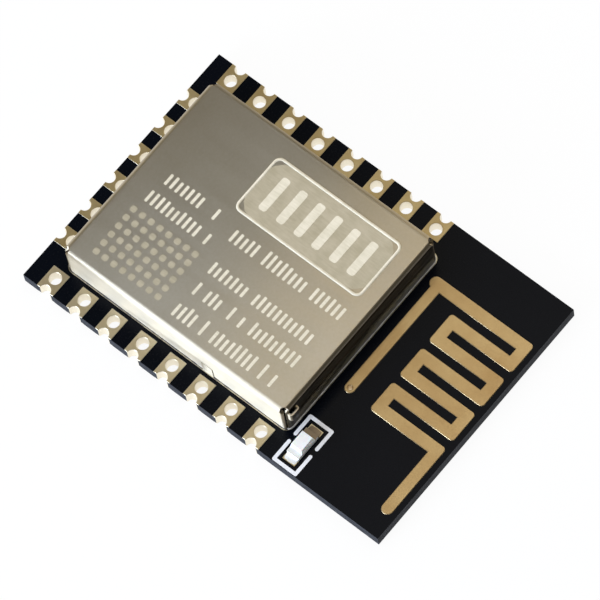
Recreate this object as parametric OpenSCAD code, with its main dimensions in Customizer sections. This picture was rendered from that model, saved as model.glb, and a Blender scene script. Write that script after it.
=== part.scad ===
// Wifi module: a small radio board with plated edge contacts, a printed antenna, a folded shield can
// over its chips, and an indicator light.
// The origin is the centre of the board's underside. X runs across the board, Y along it towards the
// antenna, Z up. Millimetres.

/* [Board] */
// Length of the board, along Y
board_len = 24; // [23:0.5:27]
// Width of the board, along X
board_w = 16; // [15.5:0.5:20]
// Thickness of the laminate
board_t = 0.8; // [0.6:0.1:1.6]
// Thickness of the plated copper on each face
copper_t = 0.04; // [0.03:0.01:0.08]
// Length of board beyond the can, left clear for the antenna
antenna_zone = 7.35; // [7:0.05:8.5]

/* [Plated contacts] */
// Distance between neighbouring contacts
pad_pitch = 2; // [1.8:0.1:2.54]
// Distance from the plain end of the board to the first side contact
first_pad = 1.5; // [1.4:0.1:2.5]
// Least gap between a row of contacts and what stands beside its end
row_gap = 0.6; // [0.4:0.1:1]
// Radius of each plated hole, inside its plating
hole_r = 0.35; // [0.3:0.01:0.45]
// Radius of each half-round notch in the board's edge, inside its plating
notch_r = 0.325; // [0.25:0.005:0.4]
// Plated web between the hole and the notch
hole_web = 0.175; // [0.15:0.005:0.3]
// Rim of copper round the hole
land_rim = 0.2; // [0.15:0.01:0.25]
// Thickness of the plating inside holes and notches
plating_t = 0.05; // [0.03:0.005:0.07]

/* [Shield can] */
// Height of the can above its land
can_h = 2.36; // [2.2:0.02:3]
// Thickness of the can's sheet
sheet_t = 0.2; // [0.15:0.01:0.25]
// Outer radius of the bends round the top
bend_r = 0.3; // [0.27:0.01:0.5]
// Outer radius of the upright corners
corner_r = 0.42; // [0.35:0.01:0.6]
// Gap between the can and the contacts on the indicator light's side
can_gap_right = 0.3; // [0.2:0.05:0.6]
// Gap between the can and the contacts on the other side
can_gap_left = 0.6; // [0.2:0.05:0.8]
// Gap between the can and the contacts across the end
can_gap_end = 0.15; // [0.15:0.05:0.5]
// Width of the slit down each upright corner
slit_w = 0.08; // [0.05:0.01:0.15]
// Radius of the relief hole at the top of each slit
relief_r = 0.24; // [0.2:0.01:0.3]
// Width of the ground land outside the can's wall
seam_out = 0.08; // [0.04:0.01:0.12]
// Width of the ground land inside the can's wall
seam_in = 0.2; // [0.1:0.01:0.4]

/* [Bridge and foot pressed in the can] */
// Length of the bridge along the wall
bridge_len = 0.68; // [0.5:0.02:1]
// Height of the bridge's strip
bridge_h = 0.7; // [0.4:0.05:1]
// Distance that the bridge stands out from the wall
bridge_out = 0.24; // [0.22:0.01:0.3]
// Distance from the can's top down to the bridge
bridge_drop = 0.42; // [0.35:0.01:0.6]
// Thickness of the bridge's strip, which is drawn thinner than the sheet
bridge_t = 0.12; // [0.1:0.01:0.15]
// Height of the gaps lanced above and below the bridge
bridge_slot = 0.1; // [0.05:0.01:0.15]
// Distance from the bridge to the can's side
bridge_to_side = 0.24; // [0.24:0.02:1.5]
// Length of the pressed foot
foot_len = 0.75; // [0.5:0.05:1]
// Height of the pressed foot
foot_h = 1; // [0.6:0.05:1.4]
// Distance that the pressed foot stands out from the wall
foot_out = 0.05; // [0.03:0.01:0.07]
// Distance from the antenna end of the can back to the middle of the foot
foot_back = 5.35; // [3:0.05:9]

/* [Antenna] */
// Width of the antenna's legs
trace_w = 0.72; // [0.6:0.01:0.8]
// Distance between neighbouring legs
leg_pitch = 1.2; // [1.1:0.05:1.4]
// Number of legs
leg_count = 7; // [3:2:7]
// Width of the turns that join the legs
turn_w = 0.68; // [0.5:0.01:0.8]
// Radius of the outer corners of the turns
turn_r = 0.22; // [0.1:0.01:0.3]
// Width of the feed arm
feed_w = 0.62; // [0.56:0.01:0.7]
// Length of the feed arm, from the first leg to its via
feed_len = 7.26; // [4:0.02:7.5]
// Distance from the can to the feed arm
feed_clear = 0.64; // [0.5:0.02:1]
// Distance from the feed arm to the lower turns
feed_gap = 1.21; // [0.8:0.01:1.5]
// Length of the rounded nub below the feed arm
feed_nub = 0.24; // [0:0.02:0.3]
// Distance from the antenna to the end of the board
end_margin = 0.31; // [0.25:0.01:0.6]
// Distance from the first leg to the side of the board
leg_margin = 2.83; // [1:0.01:3]
// Distance from the tail's round end to the other side of the board
tail_margin = 1.26; // [1:0.01:2]
// Radius of the feed arm's via, inside its plating
via_r = 0.14; // [0.1:0.01:0.18]

/* [Indicator light] */
// Length of the light's body, along X
led_len = 1.6; // [1.5:0.05:1.7]
// Width of the light's body, along Y
led_w = 0.8; // [0.7:0.05:0.9]
// Height of the light above its lands
led_h = 0.6; // [0.5:0.05:0.8]
// Height of the light's flat base
led_base_h = 0.26; // [0.2:0.01:0.3]
// Length of the lens
lens_len = 1.04; // [0.9:0.02:1.1]
// Slope of the lens's sides, as the inset of its top
lens_inset = 0.06; // [0:0.01:0.1]
// Length of each end terminal
terminal_len = 0.26; // [0.2:0.01:0.26]
// Thickness of the terminals' metal
terminal_t = 0.03; // [0.02:0.005:0.05]
// Distance that each land reaches past the light's end
led_land_past = 0.38; // [0.2:0.02:0.42]
// Distance that each land reaches under the light
led_land_under = 0.32; // [0.28:0.02:0.4]
// Length of the printed outline, between the middles of its lines
outline_len = 2.94; // [2.9:0.02:3.2]
// Width of the printed outline, between the middles of its lines
outline_w = 1.43; // [1.3:0.01:1.6]
// Width of the printed line
line_w = 0.2; // [0.15:0.01:0.25]
// Thickness of the printed ink
ink_t = 0.02; // [0.01:0.005:0.04]
// Gap in the middle of each long line
line_gap = 0.32; // [0.2:0.02:0.6]
// Distance from the printed outline to the board's side
outline_margin = 0.04; // [0:0.01:0.3]
// Distance from the printed outline to the can
outline_gap = 0.24; // [0.15:0.01:0.5]

/* [Chips under the can] */
// Length and width of the processor chip
processor_w = 5; // [4.6:0.1:5.2]
// Height of the processor chip
processor_h = 0.85; // [0.7:0.05:1]
// Number of contacts on each side of the processor
processor_contacts_side = 8; // [4:1:8]
// Distance between the processor's contacts
processor_pitch = 0.5; // [0.4:0.01:0.54]
// Width of each processor contact
processor_pad_w = 0.25; // [0.2:0.01:0.3]
// Length of each processor contact
processor_pad_len = 0.4; // [0.3:0.05:0.5]
// Thickness of the processor's contacts and thermal pad
processor_metal_t = 0.2; // [0.1:0.05:0.3]
// Length and width of the processor's thermal pad
thermal_w = 3.3; // [2.8:0.1:3.4]
// Share of the free width inside the can that lies left of the processor
processor_left_share = 0.5; // [0.3:0.01:0.55]
// Share of the free length inside the can that lies between the processor and the antenna end
processor_end_share = 0.5; // [0.3:0.01:0.5]
// Width of the flash chip's body, across its leads
flash_w = 5.28; // [5:0.04:5.4]
// Length of the flash chip's body, along its row of leads
flash_len = 5.23; // [5:0.01:5.4]
// Height of the flash chip's body
flash_h = 1.6; // [1.2:0.05:1.75]
// Clearance under the flash chip's body
flash_lift = 0.1; // [0.05:0.01:0.15]
// Distance over the tips of the flash chip's leads
flash_span = 7.9; // [7.5:0.1:8]
// Number of leads on each side of the flash chip
flash_leads_side = 4; // [2:1:4]
// Distance between the flash chip's leads
flash_pitch = 1.27; // [1:0.01:1.4]
// Width of a flash chip lead
flash_lead_w = 0.42; // [0.35:0.01:0.5]
// Thickness of a flash chip lead
flash_lead_t = 0.15; // [0.1:0.01:0.2]
// Length of a lead's straight shoulder
lead_shoulder = 0.39; // [0.3:0.01:0.45]
// Length of a lead's foot
lead_foot = 0.72; // [0.5:0.01:0.8]
// Length of the land under a lead
lead_land_len = 1; // [0.9:0.05:1.2]
// Distance that the land reaches past the tip of its lead
lead_land_past = 0.1; // [0.05:0.01:0.15]
// Rim of land on each side of a lead
lead_land_rim = 0.08; // [0.04:0.01:0.12]
// Radius of the dimple that marks the flash chip's first lead
dimple_r = 0.35; // [0.2:0.05:0.5]
// Distance from the middle of the dimple to the body's sides
dimple_inset = 1.05; // [0.7:0.05:1.2]
// Depth of the dimple
dimple_depth = 0.05; // [0.03:0.01:0.1]
// Share of the free width inside the can that lies left of the flash chip's leads
flash_left_share = 0.57; // [0.4:0.01:0.6]
// Share of the free length inside the can that lies between the flash chip and the plain end
flash_end_share = 0.19; // [0.1:0.01:0.2]
// Width of the crystal, along X
crystal_w = 2.5; // [2:0.1:2.6]
// Length of the crystal, along Y
crystal_len = 3.2; // [2.5:0.1:3.3]
// Height of the crystal's ceramic base
crystal_base_h = 0.45; // [0.3:0.05:0.6]
// Height of the crystal's lid above its base
crystal_lid_h = 0.25; // [0.1:0.05:0.4]
// Width of the ceramic left bare round the crystal's lid
crystal_rim = 0.15; // [0.1:0.01:0.2]
// Radius of the lid's corners
crystal_lid_r = 0.3; // [0.2:0.05:0.4]
// Width of each land under the crystal
crystal_land_w = 0.9; // [0.7:0.05:0.95]
// Length of each land under the crystal
crystal_land_len = 1.1; // [0.9:0.05:1.2]
// Share of the free width inside the can that lies right of the crystal
crystal_right_share = 0.25; // [0.2:0.01:0.3]
// Distance from the processor's middle to the crystal's, towards the antenna
crystal_shift = 0.4; // [0:0.05:0.6]

/* [Small parts under the can] */
// Length of a chip capacitor, resistor or inductor
chip_len = 1; // [0.9:0.05:1.05]
// Width of a chip capacitor, resistor or inductor
chip_w = 0.5; // [0.4:0.05:0.55]
// Height of a chip capacitor
capacitor_h = 0.5; // [0.4:0.05:0.6]
// Height of a chip resistor
resistor_h = 0.35; // [0.3:0.05:0.45]
// Height of a chip inductor
inductor_h = 0.55; // [0.4:0.05:0.7]
// Length of the metal cap at each end
cap_len = 0.25; // [0.2:0.01:0.3]
// Distance that the metal caps stand proud of the body
cap_proud = 0.02; // [0.01:0.005:0.04]
// Distance that each land reaches past the end of its part
land_past = 0.2; // [0.1:0.02:0.24]
// Distance between neighbouring small parts
chip_step = 1.75; // [1.65:0.05:1.85]

/* [Hidden] */
$fn = 48;
// Overlap of a cut past the face that it opens
over = 0.1;

// Heights of the board's faces and of what stands on them
land_top = board_t + copper_t;
can_top = land_top + can_h;

// Contacts
hole_inset = notch_r + hole_web + hole_r;
land_len = hole_inset + hole_r + land_rim;
land_w = 2 * (hole_r + land_rim);

// Outer faces of the can
can_x0 = -board_w / 2 + land_len + can_gap_left;
can_x1 = board_w / 2 - land_len - can_gap_right;
can_y0 = -board_len / 2 + land_len + can_gap_end;
can_y1 = board_len / 2 - antenna_zone;
can_w = can_x1 - can_x0;
can_len = can_y1 - can_y0;
can_mid = [(can_x0 + can_x1) / 2, (can_y0 + can_y1) / 2, 0];

// Places of the contacts: how many fit, and the point at the board's edge where each one lies
side_count = floor((board_len - antenna_zone - first_pad - land_w / 2) / pad_pitch) + 1;
end_count = floor((board_w - 2 * (land_len + row_gap) - land_w) / pad_pitch) + 1;
function side_y(i) = -board_len / 2 + first_pad + i * pad_pitch;
function end_x(i) = (i - (end_count - 1) / 2) * pad_pitch;
// Each place is the point at the edge, the turn about Z that points the land inwards, and the name
pad_places = concat(
    [for (i = [0:side_count - 1]) [board_w / 2, side_y(i), 180, str("board_contact_right_", i + 1)]],
    [for (i = [0:side_count - 1]) [-board_w / 2, side_y(i), 0, str("board_contact_left_", i + 1)]],
    [for (i = [0:end_count - 1]) [end_x(i), -board_len / 2, 90, str("board_contact_end_", i + 1)]]);

// Antenna
leg_x0 = -board_w / 2 + leg_margin + trace_w / 2;
leg_top = board_len / 2 - end_margin;
feed_y = can_y1 + feed_clear + feed_w / 2;
leg_bottom = feed_y + feed_w / 2 + feed_gap;
tail_x1 = board_w / 2 - tail_margin;
via_at = [leg_x0 + feed_len, feed_y, 0];
function leg_x(i) = leg_x0 + i * leg_pitch;

// Indicator light and its printed outline
outline_mid = [board_w / 2 - outline_margin - (outline_len + line_w) / 2,
    max(can_y1, side_y(side_count - 1) + land_w / 2) + outline_gap + (outline_w + line_w) / 2, 0];

// Places of the chips, from the can's middle
inner_w = can_w - 2 * sheet_t;
inner_len = can_len - 2 * sheet_t;
free_len = inner_len - processor_w - flash_len;
free_w = inner_w - processor_w - crystal_w;
processor_x = -inner_w / 2 + free_w * processor_left_share + processor_w / 2;
processor_y = inner_len / 2 - free_len * processor_end_share - processor_w / 2;
crystal_x = inner_w / 2 - free_w * crystal_right_share - crystal_w / 2;
crystal_y = processor_y + crystal_shift;
flash_x = -inner_w / 2 + (inner_w - flash_span) * flash_left_share + flash_span / 2;
flash_y = -inner_len / 2 + free_len * flash_end_share + flash_len / 2;

// Rows and columns of small parts, each midway between a chip and the can's wall or the next chip
processor_column = (-inner_w / 2 + processor_x - processor_w / 2) / 2;
flash_column = (-inner_w / 2 + flash_x - flash_span / 2) / 2;
right_column = (inner_w / 2 + flash_x + flash_span / 2) / 2;
top_row = (inner_len / 2 + processor_y + processor_w / 2) / 2;
middle_row = (processor_y - processor_w / 2 + flash_y + flash_len / 2) / 2;
// Each place is the point from the can's middle and the turn about Z
capacitor_places = concat(
    [for (i = [-1:1]) [processor_column, processor_y + i * chip_step, 90]],
    [for (i = [-1:1]) [processor_x + i * chip_step, top_row, 0]],
    [for (i = [-0.5, 0.5]) [right_column, flash_y + i * chip_step, 90]]);
resistor_places = concat(
    [for (i = [-1:1]) [flash_column, flash_y + i * chip_step, 90]],
    [for (i = [-0.5, 0.5]) [crystal_x + i * chip_step, middle_row, 0]]);
inductor_places = [for (i = [-0.5, 0.5]) [crystal_x + i * chip_step, top_row, 0]];

// ---- Helpers ----

// Puts a child made at the origin, with its land running along +X, at a place
module at_place(place) {
    translate([place[0], place[1], 0]) rotate([0, 0, place[2]]) children();
}

// Puts a child at a point measured from the can's middle
module from_can(x, y, turn = 0) {
    translate(can_mid) translate([x, y, 0]) rotate([0, 0, turn]) children();
}

// Box centred on X and Y, standing on a height
module slab(size_x, size_y, height, base = 0) {
    translate([-size_x / 2, -size_y / 2, base]) cube([size_x, size_y, height]);
}

// Rectangle with round corners, centred on the origin
module round_rect(size_x, size_y, r) {
    square([size_x - 2 * r, size_y], center = true);
    square([size_x, size_y - 2 * r], center = true);
    for (sx = [-1, 1], sy = [-1, 1])
        translate([sx * (size_x / 2 - r), sy * (size_y / 2 - r)]) circle(r);
}

// Section of a folded lid: a rectangle of a width and height with both upper corners rounded
module lid_section(width, height, r) {
    translate([-width / 2, 0]) square([width, height - r]);
    translate([-width / 2 + r, 0]) square([width - 2 * r, height]);
    for (side = [-1, 1]) translate([side * (width / 2 - r), height - r]) circle(r);
}

// ---- Board and its copper ----

// Everything that is drilled and routed for one contact, grown by a wall
module contact_bores(wall, low, high) {
    for (bore = [[hole_inset, hole_r], [0, notch_r]])
        translate([bore[0], 0, low]) cylinder(h = high - low, r = bore[1] + wall);
}

// Land of one contact, with its outer end on the board's edge
module contact_land(base) {
    translate([0, -land_w / 2, base]) cube([land_len, land_w, copper_t]);
}

module circuit_board() {
    color([0.07, 0.08, 0.11]) difference() {
        slab(board_w, board_len, board_t);
        for (place = pad_places) at_place(place) {
            contact_bores(plating_t, -over, board_t + over);
            translate([-over, -land_w / 2, -over]) cube([land_len + over, land_w, copper_t + over]);
        }
        translate(via_at) {
            translate([0, 0, -over]) cylinder(h = board_t + 2 * over, r = via_r + plating_t);
            translate([0, 0, -over]) cylinder(h = copper_t + over, r = feed_w / 2);
        }
    }
}

// One contact: a land on each face, joined by the plating in its hole and its notch
module contact(place) {
    color([0.72, 0.66, 0.4]) at_place(place) difference() {
        union() {
            contact_land(0);
            contact_land(board_t);
            intersection() {
                contact_bores(plating_t, 0, land_top);
                translate([0, -land_w / 2, 0]) cube([land_len, land_w, land_top]);
            }
        }
        contact_bores(0, -over, land_top + over);
    }
}

// Turn of the meander between two legs: sign is 1 for a turn at the top and -1 at the bottom
module meander_turn(x0, x1, outer_y, sign) {
    left = x0 - trace_w / 2;
    right = x1 + trace_w / 2;
    translate([0, outer_y]) mirror([0, sign > 0 ? 1 : 0]) {
        translate([left, turn_r]) square([right - left, turn_w - turn_r]);
        translate([left + turn_r, 0]) square([right - left - 2 * turn_r, turn_w]);
        for (x = [left + turn_r, right - turn_r]) translate([x, turn_r]) circle(turn_r);
    }
}

// Outline of the antenna as it lies on the board
module antenna_outline() {
    for (i = [0:leg_count - 1])
        translate([leg_x(i) - trace_w / 2, leg_bottom + turn_r])
            square([trace_w, leg_top - leg_bottom - 2 * turn_r]);
    for (i = [0:2:leg_count - 2]) meander_turn(leg_x(i), leg_x(i + 1), leg_top, 1);
    for (i = [1:2:leg_count - 2]) meander_turn(leg_x(i), leg_x(i + 1), leg_bottom, -1);
    // The first leg runs on down to the feed arm and ends in a round nub
    translate([leg_x(0) - trace_w / 2, feed_y - feed_w / 2 - feed_nub + trace_w / 2])
        square([trace_w, leg_bottom + 2 * turn_r - feed_y + feed_w / 2 + feed_nub - trace_w / 2]);
    translate([leg_x(0), feed_y - feed_w / 2 - feed_nub + trace_w / 2]) circle(trace_w / 2);
    translate([leg_x(0), feed_y - feed_w / 2]) square([feed_len, feed_w]);
    translate([via_at[0], via_at[1]]) circle(feed_w / 2);
    // The last leg turns along the board's end into the tail
    last_left = leg_x(leg_count - 1) - trace_w / 2;
    translate([last_left, leg_top - turn_w]) square([trace_w, turn_w - turn_r]);
    translate([last_left + turn_r, leg_top - turn_w])
        square([tail_x1 - turn_w / 2 - last_left - turn_r, turn_w]);
    translate([last_left + turn_r, leg_top - turn_r]) circle(turn_r);
    translate([tail_x1 - turn_w / 2, leg_top - turn_w / 2]) circle(turn_w / 2);
}

module antenna_trace() {
    color([0.78, 0.66, 0.42]) difference() {
        union() {
            translate([0, 0, board_t]) linear_extrude(copper_t) antenna_outline();
            translate(via_at) cylinder(h = land_top, r = via_r + plating_t);
            translate(via_at) cylinder(h = copper_t, r = feed_w / 2);
        }
        translate(via_at) translate([0, 0, -over]) cylinder(h = land_top + 2 * over, r = via_r);
    }
}

// Ring of copper that the can is soldered to
module ground_land() {
    color([0.75, 0.73, 0.66]) translate(can_mid) translate([0, 0, board_t]) linear_extrude(copper_t)
        difference() {
            round_rect(can_w + 2 * seam_out, can_len + 2 * seam_out, corner_r + seam_out);
            square([inner_w - 2 * seam_in, inner_len - 2 * seam_in], center = true);
        }
}

// ---- Shield can ----

// Block with the can's bends: grown inwards by a wall, and from a base up to its own top
module can_block(wall, base, top) {
    width = can_w - 2 * wall;
    length = can_len - 2 * wall;
    height = top - base - wall;
    translate(can_mid) translate([0, 0, base]) intersection() {
        linear_extrude(height) round_rect(width, length, corner_r - wall);
        rotate([90, 0, 0]) linear_extrude(length, center = true) lid_section(width, height, bend_r - wall);
        rotate([90, 0, 90]) linear_extrude(width, center = true) lid_section(length, height, bend_r - wall);
    }
}

// Strip lanced out of the wall: root is how far it reaches into the sheet. With a wall and a spread it
// is the opening behind the strip, which reaches past it above and below
module bridge_block(wall, root, spread) {
    x0 = can_x1 - bridge_to_side - bridge_len;
    z0 = can_top - bridge_drop - bridge_h;
    translate([x0 + wall, can_y1 - root, z0 - spread])
        cube([bridge_len - 2 * wall, root + bridge_out - wall, bridge_h + 2 * spread]);
}

module shield_can() {
    color([0.68, 0.66, 0.6]) difference() {
        union() {
            can_block(0, land_top, can_top);
            bridge_block(0, sheet_t / 2, 0);
            translate([can_x1 - sheet_t, can_y1 - foot_back - foot_len / 2, land_top])
                cube([sheet_t + foot_out, foot_len, foot_h]);
        }
        can_block(sheet_t, land_top - over, can_top);
        bridge_block(bridge_t, sheet_t + over, bridge_slot);
        for (sx = [-1, 1], sy = [-1, 1]) translate(can_mid)
            translate([sx * (can_w / 2 - bend_r / 2), sy * (can_len / 2 - bend_r / 2), 0]) {
                translate([0, 0, can_top - bend_r / 2]) sphere(relief_r);
                rotate([0, 0, sx * sy * 45])
                    slab(2 * corner_r, slit_w, can_h - bend_r / 2 + over, land_top - over);
            }
    }
}

// ---- Indicator light ----

module from_light() {
    translate(outline_mid) children();
}

// Two printed brackets with their open sides facing each other
module light_outline() {
    arm = (outline_len - line_gap - line_w) / 2;
    color([0.95, 0.95, 0.96]) from_light() translate([0, 0, board_t]) linear_extrude(ink_t)
        for (side = [-1, 1]) mirror([side > 0 ? 1 : 0, 0]) {
            translate([-outline_len / 2 - line_w / 2, -outline_w / 2]) square([line_w, outline_w]);
            for (y = [-outline_w / 2, outline_w / 2]) translate([-outline_len / 2, y]) {
                translate([0, -line_w / 2]) square([arm, line_w]);
                circle(line_w / 2);
                translate([arm, 0]) circle(line_w / 2);
            }
        }
}

module light_lands() {
    length = led_land_past + led_land_under;
    color([0.75, 0.7, 0.5]) from_light() for (side = [-1, 1])
        translate([side * (led_len / 2 + (led_land_past - led_land_under) / 2), 0, 0])
            slab(length, led_w, copper_t, board_t);
}

// End terminals, wrapped round the base's ends
module light_terminals() {
    color([0.85, 0.84, 0.8]) from_light() for (side = [-1, 1]) difference() {
        translate([side * (led_len - terminal_len) / 2, 0, 0])
            slab(terminal_len, led_w, led_base_h, land_top);
        light_core(over);
    }
}

// Middle of the base that the terminals wrap
module light_core(reach) {
    length = led_len - 2 * terminal_t;
    slab(length, led_w + 2 * reach, led_base_h - 2 * terminal_t, land_top + terminal_t);
}

module light_base() {
    color([0.93, 0.93, 0.9]) from_light() {
        light_core(0);
        slab(led_len - 2 * terminal_len, led_w, led_base_h, land_top);
    }
}

// Section of the lens: a side that leans in by the inset
module lens_section(width, height) {
    top = width / 2 - lens_inset;
    polygon([[-width / 2, 0], [width / 2, 0], [top, height], [-top, height]]);
}

module light_lens() {
    height = led_h - led_base_h;
    color([0.97, 0.97, 0.95]) from_light() translate([0, 0, land_top + led_base_h]) intersection() {
        rotate([90, 0, 0]) linear_extrude(led_w, center = true) lens_section(lens_len, height);
        rotate([90, 0, 90]) linear_extrude(lens_len, center = true) lens_section(led_w, height);
    }
}

// ---- Chips under the can ----

// Contacts round the processor's edge, as boxes with their outer ends on its sides, and its thermal pad
module processor_metal(height, base) {
    out = (processor_w - processor_pad_len) / 2;
    for (turn = [0:90:270], i = [0:processor_contacts_side - 1]) rotate([0, 0, turn])
        translate([(i - (processor_contacts_side - 1) / 2) * processor_pitch, out, 0])
            slab(processor_pad_w, processor_pad_len, height, base);
    slab(thermal_w, thermal_w, height, base);
}

module processor_contacts() {
    color([0.8, 0.78, 0.74]) from_can(processor_x, processor_y)
        processor_metal(processor_metal_t, land_top);
}

module processor_chip() {
    color([0.12, 0.12, 0.13]) from_can(processor_x, processor_y) difference() {
        slab(processor_w, processor_w, processor_h, land_top);
        processor_metal(processor_metal_t, land_top);
    }
}

// Side view of one lead, from the body's side out and down to its foot
module lead_section(shoulder_z) {
    reach = (flash_span - flash_w) / 2;
    heel = reach - lead_foot;
    run = heel - lead_shoulder;
    t = flash_lead_t;
    // Keeps the sloping leg as thick as the foot
    shift = t * (norm([run, shoulder_z]) - run) / shoulder_z;
    polygon([[0, shoulder_z], [lead_shoulder, shoulder_z], [heel, 0], [reach, 0], [reach, t],
        [heel + shift, t], [lead_shoulder + shift, shoulder_z + t], [0, shoulder_z + t]]);
}

// Puts a child at the inner end of each lead, with the lead running out along +X
module at_leads() {
    for (side = [0, 180], i = [0:flash_leads_side - 1]) rotate([0, 0, side])
        translate([flash_w / 2, (i - (flash_leads_side - 1) / 2) * flash_pitch, 0]) children();
}

module flash_leads() {
    shoulder = flash_lift + flash_h / 2 - flash_lead_t / 2;
    color([0.78, 0.78, 0.76]) from_can(flash_x, flash_y) at_leads() translate([0, 0, land_top])
        rotate([90, 0, 0]) linear_extrude(flash_lead_w, center = true) lead_section(shoulder);
}

module flash_chip() {
    top = land_top + flash_lift + flash_h;
    color([0.13, 0.13, 0.14]) from_can(flash_x, flash_y) difference() {
        slab(flash_w, flash_len, flash_h, land_top + flash_lift);
        translate([-flash_w / 2 + dimple_inset, flash_len / 2 - dimple_inset, top - dimple_depth])
            cylinder(h = dimple_depth + over, r = dimple_r);
    }
}

module crystal_base() {
    color([0.55, 0.5, 0.42]) from_can(crystal_x, crystal_y)
        slab(crystal_w, crystal_len, crystal_base_h, land_top);
}

module crystal_lid() {
    width = crystal_w - 2 * crystal_rim;
    length = crystal_len - 2 * crystal_rim;
    color([0.82, 0.8, 0.72]) from_can(crystal_x, crystal_y) translate([0, 0, land_top + crystal_base_h])
        linear_extrude(crystal_lid_h) round_rect(width, length, crystal_lid_r);
}

// ---- Small parts under the can ----

// Chip part: a ceramic body with a metal cap at each end that stands a little proud of it
module chip_part(place, height, tint) {
    color(tint) from_can(place[0], place[1], place[2]) {
        slab(chip_len - 2 * cap_proud, chip_w - 2 * cap_proud, height - 2 * cap_proud,
            land_top + cap_proud);
        for (side = [-1, 1]) translate([side * (chip_len - cap_len) / 2, 0, 0])
            slab(cap_len, chip_w, height, land_top);
    }
}

// Lands under the processor, the flash leads, the crystal's corners and the small parts
module part_lands() {
    color([0.75, 0.7, 0.5]) {
        from_can(processor_x, processor_y) processor_metal(copper_t, board_t);
        from_can(flash_x, flash_y) at_leads()
            translate([(flash_span - flash_w) / 2 + lead_land_past - lead_land_len / 2, 0, 0])
                slab(lead_land_len, flash_lead_w + 2 * lead_land_rim, copper_t, board_t);
        from_can(crystal_x, crystal_y) for (sx = [-1, 1], sy = [-1, 1])
            translate([sx * (crystal_w - crystal_land_w) / 2, sy * (crystal_len - crystal_land_len) / 2, 0])
                slab(crystal_land_w, crystal_land_len, copper_t, board_t);
        for (place = concat(capacitor_places, resistor_places, inductor_places))
            from_can(place[0], place[1], place[2]) for (side = [-1, 1])
                translate([side * (chip_len / 2 + (land_past - cap_len) / 2), 0, 0])
                    slab(land_past + cap_len, chip_w, copper_t, board_t);
    }
}

circuit_board();
for (place = pad_places) contact(place);
antenna_trace();
ground_land();
part_lands();
light_lands();
light_outline();
light_base();
light_lens();
light_terminals();
shield_can();
processor_chip();
processor_contacts();
flash_chip();
flash_leads();
crystal_base();
crystal_lid();
for (i = [1:len(capacitor_places)])
    chip_part(capacitor_places[i - 1], capacitor_h, [0.6, 0.48, 0.34]);
for (i = [1:len(resistor_places)])
    chip_part(resistor_places[i - 1], resistor_h, [0.12, 0.12, 0.13]);
for (i = [1:len(inductor_places)])
    chip_part(inductor_places[i - 1], inductor_h, [0.3, 0.4, 0.55]);
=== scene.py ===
"""Looks of a small radio board: plated edge contacts, printed antenna, folded shield can, indicator light."""

import math

import bmesh
import bpy
from mathutils import Matrix, Vector


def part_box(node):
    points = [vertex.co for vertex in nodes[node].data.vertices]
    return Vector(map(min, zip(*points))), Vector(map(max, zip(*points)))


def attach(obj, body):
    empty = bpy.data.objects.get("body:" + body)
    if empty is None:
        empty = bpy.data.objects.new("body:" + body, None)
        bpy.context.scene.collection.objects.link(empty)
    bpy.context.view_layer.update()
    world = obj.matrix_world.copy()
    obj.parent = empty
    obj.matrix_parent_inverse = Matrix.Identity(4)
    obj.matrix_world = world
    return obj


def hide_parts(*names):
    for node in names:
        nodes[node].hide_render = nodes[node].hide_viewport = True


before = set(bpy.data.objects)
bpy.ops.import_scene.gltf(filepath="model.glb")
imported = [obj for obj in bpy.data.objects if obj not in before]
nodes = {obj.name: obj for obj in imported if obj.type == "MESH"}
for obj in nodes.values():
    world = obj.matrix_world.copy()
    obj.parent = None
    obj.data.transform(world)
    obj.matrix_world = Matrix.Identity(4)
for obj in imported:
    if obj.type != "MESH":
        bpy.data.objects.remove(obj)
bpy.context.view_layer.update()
scene = bpy.context.scene
scene.view_settings.view_transform = "Standard"
MM = 0.001


# ---- Camera ----
# A long lens far above the board, turned so that the light's corner of the can comes nearest.

CAMERA_AT = Vector((75.1, 92.7, 275.4)) * MM
CAMERA_AIM = Vector((0.44, 0.65, 1.5)) * MM
CAMERA_ROLL = math.radians(-12.28)
CAMERA_SENSOR = 36
CAMERA_LENS = 346

camera = bpy.data.objects.new("camera", bpy.data.cameras.new("camera"))
scene.collection.objects.link(camera)
camera.data.sensor_width = CAMERA_SENSOR
camera.data.lens = CAMERA_LENS
facing = (CAMERA_AIM - CAMERA_AT).to_track_quat("-Z", "Y").to_matrix().to_4x4()
camera.matrix_world = Matrix.Translation(CAMERA_AT) @ facing @ Matrix.Rotation(CAMERA_ROLL, 4, "Z")
scene.camera = camera


# ---- Table and studio ----
# A plain white table top under the board and a pale room round it, dark on the antenna's side. A low
# soft box lights the long side on the right, and a weak panel hangs over the can and past its left side.

FLOOR_REACH = 0.4
FLOOR_DROP = 0.00001
FLOOR_GLOW = 0.93
TABLE_COLOURS = ((0.93, 0.93, 0.93, 1), (0.96, 0.96, 0.96, 1))
ROOM_WALLS = (0.50, 0.455, 0.375, 1)
ROOM_OVERHEAD = (0.08, 0.070, 0.050, 1)
ROOM_LIGHT = (0.98, 1.0, 1.04, 1)
DARK_SIDE = 0.8


def add(tree, kind, inputs=(), **settings):
    """Adds a node with its settings. Each of its inputs is a value or another node's output."""
    made = tree.nodes.new(kind)
    for key, value in settings.items():
        setattr(made, key, value)
    for key, value in dict(inputs).items():
        if isinstance(value, bpy.types.NodeSocket):
            tree.links.new(value, made.inputs[key])
        else:
            made.inputs[key].default_value = value
    return made


def math_node(tree, operation, *values):
    """Output of a maths node."""
    return add(tree, "ShaderNodeMath", dict(enumerate(values)), operation=operation).outputs[0]


def mix_colour(tree, share, one, other):
    """Colour between two colours."""
    return add(tree, "ShaderNodeMix", {0: share, 6: one, 7: other}, data_type="RGBA").outputs[2]


def ranged(tree, value, low, high, to_low, to_high):
    """Value carried from one range to another."""
    inputs = {"Value": value, "From Min": low, "From Max": high, "To Min": to_low, "To Max": to_high}
    return add(tree, "ShaderNodeMapRange", inputs).outputs[0]


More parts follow.
